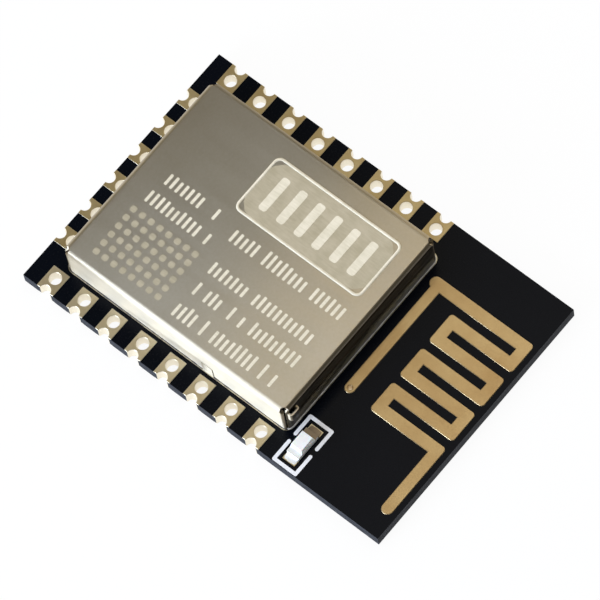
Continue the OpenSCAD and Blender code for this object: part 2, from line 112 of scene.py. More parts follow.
def seen_rays(tree):
    """1 for rays from the camera, in reflections and through clear things, and 0 for the rest."""
    path = add(tree, "ShaderNodeLightPath")
    mirrored = math_node(tree, "MAXIMUM", path.outputs["Is Glossy Ray"], path.outputs["Is Transmission Ray"])
    return math_node(tree, "MAXIMUM", path.outputs["Is Camera Ray"], mirrored)


def link_mesh(name, mesh):
    """Object at the origin that holds a mesh."""
    made = bpy.data.objects.new(name, mesh)
    scene.collection.objects.link(made)
    return made


def table_material():
    """Matt white, which glows where it is seen and keeps a share of the board's shadow."""
    made = bpy.data.materials.new("white_table")
    made.use_nodes = True
    tree = made.node_tree
    tree.nodes.clear()
    place = add(tree, "ShaderNodeTexCoord")
    mottle = add(tree, "ShaderNodeTexNoise", {"Vector": place.outputs["Object"], "Scale": 30.0})
    tint = mix_colour(tree, mottle.outputs["Fac"], *TABLE_COLOURS)
    lit = add(tree, "ShaderNodeBsdfDiffuse", {"Color": tint})
    glow = add(tree, "ShaderNodeEmission", {"Color": (1, 1, 1, 1), "Strength": 1.0})
    share = math_node(tree, "MULTIPLY", seen_rays(tree), FLOOR_GLOW)
    mixed = add(tree, "ShaderNodeMixShader", {0: share, 1: lit.outputs[0], 2: glow.outputs[0]})
    add(tree, "ShaderNodeOutputMaterial", {"Surface": mixed.outputs[0]})
    return made


def table():
    """One flat face just under the board."""
    mesh = bpy.data.meshes.new("table")
    signs = ((-1, -1), (1, -1), (1, 1), (-1, 1))
    corners = [(sx * FLOOR_REACH, sy * FLOOR_REACH, -FLOOR_DROP) for sx, sy in signs]
    mesh.from_pydata(corners, [], [(0, 1, 2, 3)])
    mesh.materials.append(table_material())
    link_mesh("table", mesh)


def soft_box(name, place, aim, width, height, radiance, colour):
    """Flat lamp that looks from a place towards an aim, in millimetres, with an even brightness."""
    lamp = bpy.data.lights.new(name, "AREA")
    lamp.shape = "RECTANGLE"
    lamp.size = width * MM
    lamp.size_y = height * MM
    lamp.energy = radiance * math.pi * lamp.size * lamp.size_y
    lamp.color = colour
    made = bpy.data.objects.new(name, lamp)
    scene.collection.objects.link(made)
    towards = (Vector(aim) - Vector(place)).to_track_quat("-Z", "Y").to_matrix().to_4x4()
    made.matrix_world = Matrix.Translation(Vector(place) * MM) @ towards
    made.visible_camera = False


def room():
    """World: white where it is seen. Its reflection is white low down and dimmer overhead, and dark on the
    antenna's side, and the even light that it gives is dimmer there too."""
    world = bpy.data.worlds.new("room")
    scene.world = world
    world.use_nodes = True
    tree = world.node_tree
    tree.nodes.clear()
    way = add(tree, "ShaderNodeTexCoord")
    axes = add(tree, "ShaderNodeSeparateXYZ", {0: way.outputs["Generated"]})
    above_table = ranged(tree, axes.outputs["Z"], 0.08, 0.3, 0, 1)
    overhead = ranged(tree, axes.outputs["Z"], 0.6, 0.85, 0, 1)
    dark_side = ranged(tree, axes.outputs["Y"], 0.1, 0.5, 0, DARK_SIDE)
    dimmed = math_node(tree, "SUBTRACT", 1.0, dark_side)
    walls = mix_colour(tree, above_table, (1, 1, 1, 1), ROOM_WALLS)
    sky = mix_colour(tree, overhead, walls, ROOM_OVERHEAD)
    path = add(tree, "ShaderNodeLightPath")
    mirrored = math_node(tree, "MAXIMUM", path.outputs["Is Glossy Ray"], path.outputs["Is Transmission Ray"])
    given = mix_colour(tree, mirrored, ROOM_LIGHT, sky)
    shaded = add(tree, "ShaderNodeVectorMath", {0: given, "Scale": dimmed}, operation="SCALE")
    shown = mix_colour(tree, path.outputs["Is Camera Ray"], shaded.outputs[0], (1, 1, 1, 1))
    back = add(tree, "ShaderNodeBackground", {"Color": shown, "Strength": 1.0})
    add(tree, "ShaderNodeOutputWorld", {"Surface": back.outputs[0]})


table()
room()
soft_box("side_light", place=(170, -36, 34), aim=(0, 0, 0), width=90, height=90, radiance=17.5,
         colour=(0.64, 0.765, 1.0))
soft_box("top_panel", place=(-92, -3, 70), aim=(-92, -3, 0), width=200, height=38, radiance=1.0,
         colour=(1, 0.89, 0.69))


# ---- Circuit board ----
# Glass-fibre laminate with a satin black solder mask on both faces. The routed edges show the bare
# laminate in thin layers of cloth.

MASK_DARK = (0.0010, 0.0020, 0.0045, 1)
MASK_LIGHT = (0.0022, 0.0034, 0.0066, 1)
LAMINATE_DARK = (0.015, 0.017, 0.022, 1)
LAMINATE_LIGHT = (0.045, 0.048, 0.056, 1)
MASK_GLOSS = (0.2, 0.3)
MASK_SPECULAR = 0.1
LAMINATE_ROUGHER = 0.4
NOISE_SPAN = (0.3, 0.7)
TONE_SPAN = (0.35, 0.65)


def material(name):
    """New node material: the material, its tree, its shader and the place on the object in millimetres."""
    made = bpy.data.materials.new(name)
    made.use_nodes = True
    tree = made.node_tree
    shader = tree.nodes["Principled BSDF"]
    coord = add(tree, "ShaderNodeTexCoord")
    inputs = {0: coord.outputs["Object"], "Scale": 1 / MM}
    place = add(tree, "ShaderNodeVectorMath", inputs, operation="SCALE")
    return made, tree, shader, place.outputs[0]


def facing_axes(tree, normal="Normal"):
    """X, Y and Z of the way that the surface faces."""
    geometry = add(tree, "ShaderNodeNewGeometry")
    return add(tree, "ShaderNodeSeparateXYZ", {0: geometry.outputs[normal]}).outputs


def colour_with(tree, shader, colour):
    """Gives the shader a colour from the tree."""
    tree.links.new(colour, shader.inputs["Base Color"])


def noise(tree, place, per_mm, detail=2.0, stretch=(1, 1, 1)):
    """Cloudy pattern with its number of lumps in a millimetre, drawn out along an axis by a small stretch."""
    drawn = add(tree, "ShaderNodeVectorMath", {0: place, 1: stretch}, operation="MULTIPLY")
    made = add(tree, "ShaderNodeTexNoise", {"Vector": drawn.outputs[0], "Scale": per_mm, "Detail": detail})
    return made.outputs["Fac"]


def bump(tree, shader, height, depth_mm, strength=1.0):
    """Relief of a depth in millimetres on the shader."""
    made = add(tree, "ShaderNodeBump", {"Height": height, "Distance": depth_mm * MM, "Strength": strength})
    tree.links.new(made.outputs[0], shader.inputs["Normal"])


def dress(made, *names):
    """Gives CAD nodes a material."""
    for name in names:
        slots = nodes[name].data.materials
        for i in range(len(slots)):
            slots[i] = made


def upright(tree):
    """1 on walls and 0 on level faces."""
    slope = math_node(tree, "ABSOLUTE", facing_axes(tree, "True Normal")["Z"])
    return math_node(tree, "LESS_THAN", slope, 0.5)


def mask_material():
    """Solder mask on level faces, and bare laminate in layers on the routed walls."""
    made, tree, shader, place = material("solder_mask")
    cloud = noise(tree, place, per_mm=0.25)
    grain = noise(tree, place, per_mm=9.0, detail=3.0)
    mask = mix_colour(tree, cloud, MASK_DARK, MASK_LIGHT)
    layers = noise(tree, place, per_mm=1.6, detail=3.0, stretch=(1, 1, 9))
    edge = mix_colour(tree, ranged(tree, layers, *TONE_SPAN, 0, 1), LAMINATE_DARK, LAMINATE_LIGHT)
    wall = upright(tree)
    colour_with(tree, shader, mix_colour(tree, wall, mask, edge))
    mask_gloss = ranged(tree, grain, *NOISE_SPAN, *MASK_GLOSS)
    rough = math_node(tree, "ADD", mask_gloss, math_node(tree, "MULTIPLY", wall, LAMINATE_ROUGHER))
    tree.links.new(rough, shader.inputs["Roughness"])
    bump(tree, shader, grain, depth_mm=0.002, strength=0.35)
    shader.inputs["Specular IOR Level"].default_value = MASK_SPECULAR
    return made


dress(mask_material(), "circuit_board")


# ---- Plated contacts ----
# Copper lands on both faces, joined through a drilled hole and a routed half hole in the board's edge,
# all under thin gold over nickel. The row on the right is painted paler: painted light on the side that
# the low soft box lights. The plating rolls over at every edge.

CONTACT_COLOURS = ((0.60, 0.48, 0.26, 1), (0.74, 0.63, 0.38, 1))
# Painted light: the row on the right, on the lit side, is painted in these paler tones
PAINTED_LIGHT_COLOURS = ((0.76, 0.66, 0.45, 1), (0.90, 0.82, 0.62, 1))
CONTACT_WALLS = (0.95, 0.88, 0.72, 1)
CONTACT_ROUGH = 0.42
CONTACT_ROUND = 0.02
TOUCHING = 0.0005
FLAT_DEGREES = 0.5
SHARP_DEGREES = 50
TOP_WITHIN = 0.001


def rough_with(tree, shader, pattern, low, high):
    """Roughness that follows a noise pattern between two values."""
    tree.links.new(ranged(tree, pattern, *NOISE_SPAN, low, high), shader.inputs["Roughness"])


def copper_material(name, colours, roughness, lumps=0.7, walls=None):
    """Gold-plated copper between two tones, with a fine etched grain. Its walls may have a colour of their
    own."""
    made, tree, shader, place = material(name)
    shader.inputs["Metallic"].default_value = 1.0
    cloud = noise(tree, place, per_mm=lumps, detail=3.0)
    grain = noise(tree, place, per_mm=14.0, detail=3.0)
    tone = mix_colour(tree, ranged(tree, cloud, *NOISE_SPAN, 0, 1), *colours)
    if walls:
        tone = mix_colour(tree, upright(tree), tone, walls)
    colour_with(tree, shader, tone)
    rough_with(tree, shader, grain, roughness - 0.05, roughness + 0.07)
    bump(tree, shader, grain, depth_mm=0.004, strength=0.15)
    return made


def smooth(piece, degrees=35):
    """Shades a piece smooth, apart from edges sharper than an angle."""
    piece.data.shade_smooth()
    piece.data.set_sharp_from_angle(angle=math.radians(degrees))


def join_flat(mesh, degrees):
    """Joins faces whose angle is under a few degrees."""
    limit = math.radians(degrees)
    bmesh.ops.dissolve_limit(mesh, angle_limit=limit, verts=mesh.verts, edges=mesh.edges)


def merge_close(piece, apart_mm, flat_degrees=0.0):
    """Merges points closer than a distance, which clears slivers, and joins faces that are nearly flat."""
    mesh = bmesh.new()
    mesh.from_mesh(piece.data)
    bmesh.ops.remove_doubles(mesh, verts=mesh.verts, dist=apart_mm * MM)
    bmesh.ops.dissolve_degenerate(mesh, edges=mesh.edges, dist=apart_mm * MM)
    if flat_degrees:
        join_flat(mesh, flat_degrees)
    mesh.to_mesh(piece.data)
    mesh.free()


def settle(piece):
    """Turns what a piece's modifiers make into its plain mesh."""
    evaluated = piece.evaluated_get(bpy.context.evaluated_depsgraph_get())
    result = bpy.data.meshes.new_from_object(evaluated)
    piece.modifiers.clear()
    piece.data = result


def round_edges(piece, radius_mm, segments, weighted=False, clamped=True):
    """Rounds a piece's sharp edges, or those of them that are weighted."""
    rounding = piece.modifiers.new("rounding", "BEVEL")
    rounding.width = radius_mm * MM
    rounding.use_clamp_overlap = clamped
    rounding.segments = segments
    rounding.limit_method = "WEIGHT" if weighted else "ANGLE"
    rounding.angle_limit = math.radians(SHARP_DEGREES)
    settle(piece)
    merge_close(piece, TOUCHING)


def hand_over(piece, slot, *replaced):
    """Puts a piece on the one body and hides the nodes that it stands for. The slot is not used."""
    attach(piece, "root")
    if replaced:
        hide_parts(*replaced)


def rounded_copy(name, node, radius_mm, finish, slot, segments=2, top_only=False):
    """Merged copy of a CAD node with its edges, or its top edges alone, rounded. It stands for the node."""
    mesh = bmesh.new()
    mesh.from_mesh(nodes[node].data)
    bmesh.ops.remove_doubles(mesh, verts=mesh.verts, dist=TOUCHING * MM)
    join_flat(mesh, FLAT_DEGREES)
    if top_only:
        top = max(vert.co.z for vert in mesh.verts) - TOP_WITHIN * MM
        weight = mesh.edges.layers.float.new("bevel_weight_edge")
        for edge in mesh.edges:
            on_top = min(vert.co.z for vert in edge.verts) > top
            edge[weight] = float(on_top and edge.calc_face_angle(0) > math.radians(SHARP_DEGREES))
    copied = bpy.data.meshes.new(name)
    mesh.to_mesh(copied)
    mesh.free()
    copied.materials.clear()
    copied.materials.append(finish)
    piece = link_mesh(name, copied)
    smooth(piece)
    round_edges(piece, radius_mm, segments, weighted=top_only)
    weighting = piece.modifiers.new("weighting", "WEIGHTED_NORMAL")
    weighting.keep_sharp = True
    settle(piece)
    hand_over(piece, slot, node)


contact_gold = copper_material("contact_gold", CONTACT_COLOURS, CONTACT_ROUGH, walls=CONTACT_WALLS)
painted_light_gold = copper_material("painted_light_contact_gold", PAINTED_LIGHT_COLOURS, CONTACT_ROUGH, walls=CONTACT_WALLS)
for contact in sorted(name for name in nodes if name.startswith("board_contact_")):
    plated = contact.replace("board_contact", "plated_contact")
    # The row on the right takes the paler gold, as painted light
    finish = painted_light_gold if "_right_" in contact else contact_gold
    rounded_copy(plated, contact, CONTACT_ROUND, finish, "contact_gold")


# ---- Antenna ----
# One etched copper line, bare gold over nickel, standing a little above the mask. Its edges are
# undercut and rounded by the etching, so they catch the light.

ANTENNA_COLOURS = ((0.58, 0.41, 0.21, 1), (0.74, 0.58, 0.33, 1))
ANTENNA_ROUGH = 0.4
ANTENNA_ROUND = 0.036

antenna_gold = copper_material("antenna_gold", ANTENNA_COLOURS, ANTENNA_ROUGH, lumps=0.4)
rounded_copy("antenna_copper", "antenna_trace", ANTENNA_ROUND, antenna_gold, "antenna_gold", segments=3,
             top_only=True)


# ---- Lands under the can and under the light ----
# Bare gold-plated copper, tinned where parts are soldered to it. The lands are etched from the same
# layer as the antenna.

LAND_COLOURS = ((0.62, 0.56, 0.38, 1), (0.72, 0.68, 0.55, 1))
LAND_ROUGH = 0.3

land_gold = copper_material("land_gold", LAND_COLOURS, LAND_ROUGH)
dress(land_gold, "ground_land", "part_lands", "light_lands")


# ---- Shield can ----
# One blank of tinned sheet, folded down on four sides. The corners are slit, with a round relief hole at
# the top of each. A small bridge is lanced out of one wall and a foot pressed in another.

SHEET_T = 0.2
BEND_R = 0.3
CORNER_R = 0.42
SEAM_OUT = 0.08
RELIEF_R = 0.24
SLIT_W = 0.08
BRIDGE_LEN = 0.68
BRIDGE_H = 0.7
BRIDGE_OUT = 0.24
BRIDGE_T = 0.12
BRIDGE_SLOT = 0.1
BRIDGE_DROP = 0.42
BRIDGE_TO_SIDE = 0.24
BRIDGE_CURVE = 0.1
FOOT_LEN = 0.75
FOOT_H = 1.0
FOOT_OUT = 0.05
FOOT_BACK = 5.35
BEND_STEPS = 8
CORNER_STEPS = 8
CURVE_STEPS = 6
RING_UNDER_BEND = 0.05
TOP_RING_IN = 0.06
TOP_RING_CORNER = 0.04
CUT_PAST = 0.05
SLIT_PAST = 0.1
SHEET_FLAT_DEGREES = 1.0
SHEET_SMOOTH_DEGREES = 30
ROLLING_TILT = 0.02
SHEET_EDGE_ROUND = 0.012
SLIVER = 0.015
SHEET_COLOURS = ((0.48, 0.41, 0.288, 1), (0.54, 0.468, 0.345, 1))
# Painted shade: the wall that faces the antenna's side is painted this dark colour, a painted reflection of
# the black board
PAINTED_SHADE_WALL = (0.08, 0.07, 0.057, 1)
PAINTED_SHADE_SPAN = (0.5, 0.95)
SHEET_ROUGH = 0.4
SHEET_SPREAD = 1.0

land_low, land_high = (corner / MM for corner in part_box("ground_land"))
can_low = Vector((land_low.x + SEAM_OUT, land_low.y + SEAM_OUT, land_high.z))
can_high = Vector((land_high.x - SEAM_OUT, land_high.y - SEAM_OUT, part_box("shield_can")[1].z / MM))
can_mid = (can_low + can_high) / 2


def outline(inset, radius):
    """Points round the can's plan, moved in by an inset, with corners of a radius."""
    points = []
    x0, x1 = can_low.x + inset + radius, can_high.x - inset - radius
    y0, y1 = can_low.y + inset + radius, can_high.y - inset - radius
    for x, y, start in ((x1, y0, -90), (x1, y1, 0), (x0, y1, 90), (x0, y0, 180)):
        for step in range(CORNER_STEPS + 1):
            turn = math.radians(start + 90 * step / CORNER_STEPS)
            points.append((x + radius * math.cos(turn), y + radius * math.sin(turn)))
    return points


def skin_rings(wall):
    """Rings up one side of the folded sheet, from the open rim over the bend to the flat top."""
    bend = BEND_R - wall
    corner = CORNER_R - wall
    top = can_high.z - wall
    rings = [(wall, corner, can_low.z), (wall, corner, top - bend - RING_UNDER_BEND)]
    for step in range(BEND_STEPS + 1):
        turn = math.radians(90 * step / BEND_STEPS)
        inset = bend * (1 - math.cos(turn))
        rings.append((wall + inset, corner - inset, top - bend + bend * math.sin(turn)))
    rings.append((wall + bend + TOP_RING_IN, corner - bend - TOP_RING_CORNER, top))
    return [[(x, y, z) for x, y in outline(inset, radius)] for inset, radius, z in rings]


def mesh_piece(name, points, faces):
    """Object made of points in millimetres, with its faces turned outwards."""
    mesh = bpy.data.meshes.new(name)
    mesh.from_pydata([Vector(p) * MM for p in points], [], faces)
    shaped = bmesh.new()
    shaped.from_mesh(mesh)
    bmesh.ops.recalc_face_normals(shaped, faces=shaped.faces)
    shaped.to_mesh(mesh)
    shaped.free()
    return link_mesh(name, mesh)


def loft(name, rings):
    """Closed piece through rings of as many points each, with a flat face at both ends."""
    count = len(rings[0])
    faces = [list(range(count)), list(range(count * (len(rings) - 1), count * len(rings)))]
    for i in range(len(rings) - 1):
        for j in range(count):
            k = (j + 1) % count
            faces.append((i * count + j, i * count + k, (i + 1) * count + k, (i + 1) * count + j))
    return mesh_piece(name, [p for ring in rings for p in ring], faces)


def box_piece(name, low, high, turn=0.0):
    """Box between two corners, which may be turned about Z round its middle."""
    mid = (Vector(low) + Vector(high)) / 2
    turned = Matrix.Rotation(turn, 3, "Z")
    rings = []
    for z in (low[2], high[2]):
        ring = [(low[0], low[1]), (high[0], low[1]), (high[0], high[1]), (low[0], high[1])]
        rings.append([mid + turned @ (Vector((x, y, z)) - mid) for x, y in ring])
    return loft(name, rings)


def ball_piece(name, place, radius):
    """Ball at a place, both in millimetres."""
    shaped = bmesh.new()
    bmesh.ops.create_uvsphere(shaped, u_segments=32, v_segments=16, radius=radius * MM)
    bmesh.ops.translate(shaped, verts=shaped.verts, vec=Vector(place) * MM)
    mesh = bpy.data.meshes.new(name)
    shaped.to_mesh(mesh)
    shaped.free()
    return link_mesh(name, mesh)


def put_in_order(piece):
    """Numbers a piece's points and faces by their place, because a cut numbers them differently each time."""
    mesh = piece.data
    order = sorted(range(len(mesh.vertices)), key=lambda old: tuple(mesh.vertices[old].co))
    number = {old: new for new, old in enumerate(order)}
    faces = []
    for face in mesh.polygons:
        ring = [number[old] for old in face.vertices]
        first = ring.index(min(ring))
        faces.append(ring[first:] + ring[:first])
    ordered = bpy.data.meshes.new(mesh.name)
    ordered.from_pydata([tuple(mesh.vertices[old].co) for old in order], [], sorted(faces))
    piece.data = ordered


def cut(piece, tool, operation="DIFFERENCE"):
    """Cuts a tool out of a piece, or joins it on, and takes the tool away."""
    step = piece.modifiers.new("cut", "BOOLEAN")
    step.object = tool
    step.operation = operation
    step.solver = "EXACT"
    bpy.context.view_layer.update()
    settle(piece)
    put_in_order(piece)
    bpy.data.objects.remove(tool)


def bridge_strip():
    """Lanced strip: it leaves the wall, runs along it at a distance and comes back in soft curves."""
    x0 = can_high.x - BRIDGE_TO_SIDE - BRIDGE_LEN
    root = can_high.y - SHEET_T / 2
    z1 = can_high.z - BRIDGE_DROP
    path = []
    for wall, radius in ((0, BRIDGE_CURVE + BRIDGE_T / 2), (BRIDGE_T, BRIDGE_CURVE - BRIDGE_T / 2)):
        line = []
        left, right = x0 + wall, x0 + BRIDGE_LEN - wall
        out = can_high.y + BRIDGE_OUT - wall
        line.append((left, root))
        for step in range(CURVE_STEPS + 1):
            turn = math.radians(180 - 90 * step / CURVE_STEPS)
            line.append((left + radius + radius * math.cos(turn), out - radius + radius * math.sin(turn)))
        for step in range(CURVE_STEPS + 1):
            turn = math.radians(90 - 90 * step / CURVE_STEPS)
            line.append((right - radius + radius * math.cos(turn), out - radius + radius * math.sin(turn)))
        line.append((right, root))
        path.append(line)
    ring = path[0] + path[1][::-1]
    return loft("bridge_strip", [[(x, y, z) for x, y in ring] for z in (z1 - BRIDGE_H, z1)])


def blend_patterns(tree, one, share_one, other, share_other):
    """Sum of two patterns, each times its share."""
    first = math_node(tree, "MULTIPLY", one, share_one)
    return math_node(tree, "ADD", first, math_node(tree, "MULTIPLY", other, share_other))


def across_rolling(tree):
    """Direction on the folded sheet across its rolling lines, which run along Y before it is folded."""
    normal = facing_axes(tree)
    back = math_node(tree, "MULTIPLY", normal["X"], -1.0)
    along = math_node(tree, "ADD", normal["Z"], ROLLING_TILT)
    return add(tree, "ShaderNodeCombineXYZ", {"X": along, "Z": back}).outputs[0]


def sheet_material(name, colours, roughness):
    """Tinned sheet: satin, with faint lines from rolling and a slow wander in its tone. The rolling lines
    spread its gloss to both sides of them. The wall by the antenna is painted dark: painted shade, and a
    painted reflection of the black board."""
    made, tree, shader, place = material(name)
    shader.inputs["Metallic"].default_value = 1.0
    shader.distribution = "GGX"
    shader.inputs["Anisotropic"].default_value = SHEET_SPREAD
    tree.links.new(across_rolling(tree), shader.inputs["Tangent"])
    cloud = noise(tree, place, per_mm=0.16)
    grain = noise(tree, place, per_mm=7.0, detail=4.0)
    rolled = noise(tree, place, per_mm=4.0, detail=3.0, stretch=(1, 0.06, 1))
    tone = blend_patterns(tree, cloud, 0.7, grain, 0.3)
    tin = mix_colour(tree, ranged(tree, tone, *TONE_SPAN, 0, 1), *colours)
    # Painted shade and painted reflection: walls that face the antenna's side are painted dark
    painted_shade = ranged(tree, facing_axes(tree)["Y"], *PAINTED_SHADE_SPAN, 0, 1)
    colour_with(tree, shader, mix_colour(tree, painted_shade, tin, PAINTED_SHADE_WALL))
    rough_with(tree, shader, rolled, roughness - 0.03, roughness + 0.04)
    relief = math_node(tree, "ADD", grain, math_node(tree, "MULTIPLY", rolled, 0.6))
    bump(tree, shader, relief, depth_mm=0.002, strength=0.3)
    return made


def shield_can():
    """The folded sheet: its window, slits and relief holes are cut, and its bridge and foot joined on."""
    outer, inner = skin_rings(0), skin_rings(SHEET_T)
    piece = loft("can_folded", inner[::-1] + outer)
    x1, y1 = can_high.x, can_high.y
    z1 = can_high.z - BRIDGE_DROP
    x0 = x1 - BRIDGE_TO_SIDE - BRIDGE_LEN
    window = box_piece("tool", (x0 + BRIDGE_T, y1 - SHEET_T - CUT_PAST, z1 - BRIDGE_H - BRIDGE_SLOT),
                       (x0 + BRIDGE_LEN - BRIDGE_T, y1 + CUT_PAST, z1 + BRIDGE_SLOT))
    cut(piece, window)
    bend_z = can_high.z - BEND_R / 2
    for sx in (-1, 1):
        for sy in (-1, 1):
            x = can_mid.x + sx * ((can_high.x - can_low.x) / 2 - BEND_R / 2)
            y = can_mid.y + sy * ((can_high.y - can_low.y) / 2 - BEND_R / 2)
            slit = box_piece("tool", (x - CORNER_R, y - SLIT_W / 2, can_low.z - SLIT_PAST),
                             (x + CORNER_R, y + SLIT_W / 2, bend_z), math.radians(45 * sx * sy))
            cut(piece, slit)
            cut(piece, ball_piece("tool", (x, y, bend_z), RELIEF_R))
    cut(piece, bridge_strip(), "UNION")
    foot_y = can_high.y - FOOT_BACK
    foot = box_piece("tool", (x1 - SHEET_T / 2, foot_y - FOOT_LEN / 2, can_low.z),
                     (x1 + FOOT_OUT, foot_y + FOOT_LEN / 2, can_low.z + FOOT_H))
    cut(piece, foot, "UNION")
    merge_close(piece, SLIVER, SHEET_FLAT_DEGREES)
    round_edges(piece, SHEET_EDGE_ROUND, segments=2, clamped=False)
    piece.data.materials.clear()
    piece.data.materials.append(sheet_material("tinned_sheet", SHEET_COLOURS, SHEET_ROUGH))
    smooth(piece, SHEET_SMOOTH_DEGREES)
    hand_over(piece, "tinned_sheet", "shield_can")


shield_can()


# ---- Laser marks ----
# The top of the can is frosted by a laser in plain marks that say nothing: a panel with a border and
# bars, a block of dots, and rows of short strokes. Each mark stands a few microns proud.

MARK_DEPTH = 0.008
MARK_SUNK = 0.002
WELD = 0.0001
MARK_COLOURS = ((0.72, 0.66, 0.50, 1), (0.86, 0.79, 0.63, 1))
PANEL_COLOURS = ((0.55, 0.50, 0.365, 1), (0.67, 0.61, 0.47, 1))
PANEL_LOW = (-4.8, -1.9)
PANEL_HIGH = (-1.2, 6.4)
PANEL_CORNER = 0.35
PANEL_LINE = 0.16
PANEL_BARS = 6
PANEL_BAR_W = 0.5
PANEL_BAR_LEN = 2.2
DOTS_LOW = (2.1, -6.2)
DOTS_ACROSS = 6
DOTS_ALONG = 8
DOT_STEP = 0.6
DOT_W = 0.36
STROKE_STEP = 0.36
STROKE_W = 0.17
STROKE_SHORTEST = 0.75
STROKE_KEPT = 0.92
MARK_CORNER_SHARE = 0.3
# Rows of strokes: the row's foot in x, its start and end in y, and the strokes' length, from mid top
STROKE_ROWS = ((0.45, -0.9, 6.2, 0.9), (0.05, -6.0, -2.3, 0.8), (1.4, -6.2, -2.0, 0.8), (2.5, -0.6, 1.4, 0.8),
               (2.5, 2.3, 6.0, 0.8), (3.9, -0.5, 0.8, 0.85), (3.9, 1.8, 6.0, 0.85), (5.45, -0.6, 5.9, 0.95))


def new_tree(name, **sockets):
    """Geometry tree with a material input and named inputs of the given kinds. Gives its input node too."""
    tree = bpy.data.node_groups.new(name, "GeometryNodeTree")
    tree.interface.new_socket("Geometry", in_out="OUTPUT", socket_type="NodeSocketGeometry")
    for label, kind in dict(sockets, finish="Material").items():
        tree.interface.new_socket(label, in_out="INPUT", socket_type="NodeSocket" + kind)
    return tree, tree.nodes.new("NodeGroupInput")


def end_tree(tree, given, geometry):
    """Ends a tree in plain mesh with its material."""
    real = add(tree, "GeometryNodeRealizeInstances", {0: geometry})
    inputs = {"Geometry": real.outputs[0], "Material": given.outputs["finish"]}
    dressed = add(tree, "GeometryNodeSetMaterial", inputs)
    add(tree, "NodeGroupOutput", {0: dressed.outputs[0]})


def grow(name, tree, slot, **values):
    """Plain piece made by a geometry tree with the given inputs."""
    piece = link_mesh(name, bpy.data.meshes.new(name))
    step = piece.modifiers.new("tree", "NODES")
    step.node_group = tree
    for socket in tree.interface.items_tree:
        if socket.in_out == "INPUT":
            step[socket.identifier] = values[socket.name]
    settle(piece)
    hand_over(piece, slot)


def rounded_rectangle(tree, width, height, corner, points):
    """Curve round a rectangle whose corners have a number of points."""
    edge = add(tree, "GeometryNodeCurvePrimitiveQuadrilateral", {"Width": width, "Height": height})
    inputs = {"Curve": edge.outputs[0], "Radius": corner}
    rounded = add(tree, "GeometryNodeFilletCurve", inputs, mode="POLY")
    rounded.inputs["Count"].default_value = points
    return rounded.outputs[0]


def plate(tree, width, height, corner, depth):
    """Closed flat plate with round corners, standing on its base."""
    edge = rounded_rectangle(tree, width, height, corner, points=3)
    face = add(tree, "GeometryNodeFillCurve", {"Curve": edge}, mode="NGONS").outputs[0]
    offset = add(tree, "ShaderNodeCombineXYZ", {"Z": depth}).outputs[0]
    raised = add(tree, "GeometryNodeExtrudeMesh", {"Mesh": face, "Offset": offset, "Individual": False})
    base = add(tree, "GeometryNodeFlipFaces", {"Mesh": face})
    both = add(tree, "GeometryNodeJoinGeometry", {0: raised.outputs["Mesh"]})
    tree.links.new(base.outputs[0], both.inputs[0])
    inputs = {"Geometry": both.outputs[0], "Distance": WELD * MM}
    return add(tree, "GeometryNodeMergeByDistance", inputs).outputs[0]


def strokes_tree():
    """Rows of rounded strokes, of which some are shorter and some are left out."""
    tree, given = new_tree("strokes", start="Vector", count="Int", step="Vector", rows="Int",
                           row_step="Vector", length="Float", width="Float", corner="Float", depth="Float",
                           shortest="Float", kept="Float", seed="Int")
    g = given.outputs
    row = add(tree, "GeometryNodeMeshLine", {"Count": g["count"], "Offset": g["step"]})
    inputs = {"Count": g["rows"], "Start Location": g["start"], "Offset": g["row_step"]}
    feet = add(tree, "GeometryNodeMeshLine", inputs)
    inputs = {"Points": feet.outputs[0], "Instance": row.outputs[0]}
    placed = add(tree, "GeometryNodeInstanceOnPoints", inputs)
    points = add(tree, "GeometryNodeRealizeInstances", {0: placed.outputs[0]})
    half = math_node(tree, "MULTIPLY", g["length"], -0.5)
    shift = add(tree, "ShaderNodeCombineXYZ", {"X": half}).outputs[0]
    one = plate(tree, g["length"], g["width"], g["corner"], g["depth"])
    footed = add(tree, "GeometryNodeTransform", {"Geometry": one, "Translation": shift})
    inputs = {2: g["shortest"], 3: 1.0, "Seed": g["seed"]}
    size = add(tree, "FunctionNodeRandomValue", inputs, data_type="FLOAT")
    inputs = {"Probability": g["kept"], "Seed": g["seed"]}
    stays = add(tree, "FunctionNodeRandomValue", inputs, data_type="BOOLEAN")
    scale = add(tree, "ShaderNodeCombineXYZ", {"X": size.outputs[1], "Y": 1.0, "Z": 1.0}).outputs[0]
    inputs = {"Points": points.outputs[0], "Selection": stays.outputs[3], "Instance": footed.outputs[0],
              "Scale": scale}
    made = add(tree, "GeometryNodeInstanceOnPoints", inputs)
    end_tree(tree, given, made.outputs[0])
    return tree


def border_tree():
    """Flat line round a rectangle with round corners."""
    tree, given = new_tree("border", centre="Vector", width="Float", height="Float", corner="Float",
                           line="Float", depth="Float")
    g = given.outputs
    edge = rounded_rectangle(tree, g["width"], g["height"], g["corner"], points=6)
    inputs = {"Width": g["line"], "Height": g["depth"]}
    section = add(tree, "GeometryNodeCurvePrimitiveQuadrilateral", inputs)
    inputs = {"Curve": edge, "Profile Curve": section.outputs[0]}
    swept = add(tree, "GeometryNodeCurveToMesh", inputs)
    inputs = {"Geometry": swept.outputs[0], "Translation": g["centre"]}
    placed = add(tree, "GeometryNodeTransform", inputs)
    end_tree(tree, given, placed.outputs[0])
    return tree


def frost_material(name, colours, metal):
    """Tin frosted by a laser in fine cross lines."""
    made, tree, shader, place = material(name)
    cloud = noise(tree, place, per_mm=1.2, detail=3.0)
    lines = noise(tree, place, per_mm=12.0, stretch=(1, 0.15, 1))
    tone = blend_patterns(tree, cloud, 0.5, lines, 0.5)
    colour_with(tree, shader, mix_colour(tree, ranged(tree, tone, *TONE_SPAN, 0, 1), *colours))
    rough_with(tree, shader, lines, 0.5, 0.65)
    shader.inputs["Metallic"].default_value = metal
    bump(tree, shader, lines, depth_mm=0.004, strength=0.4)
    return made


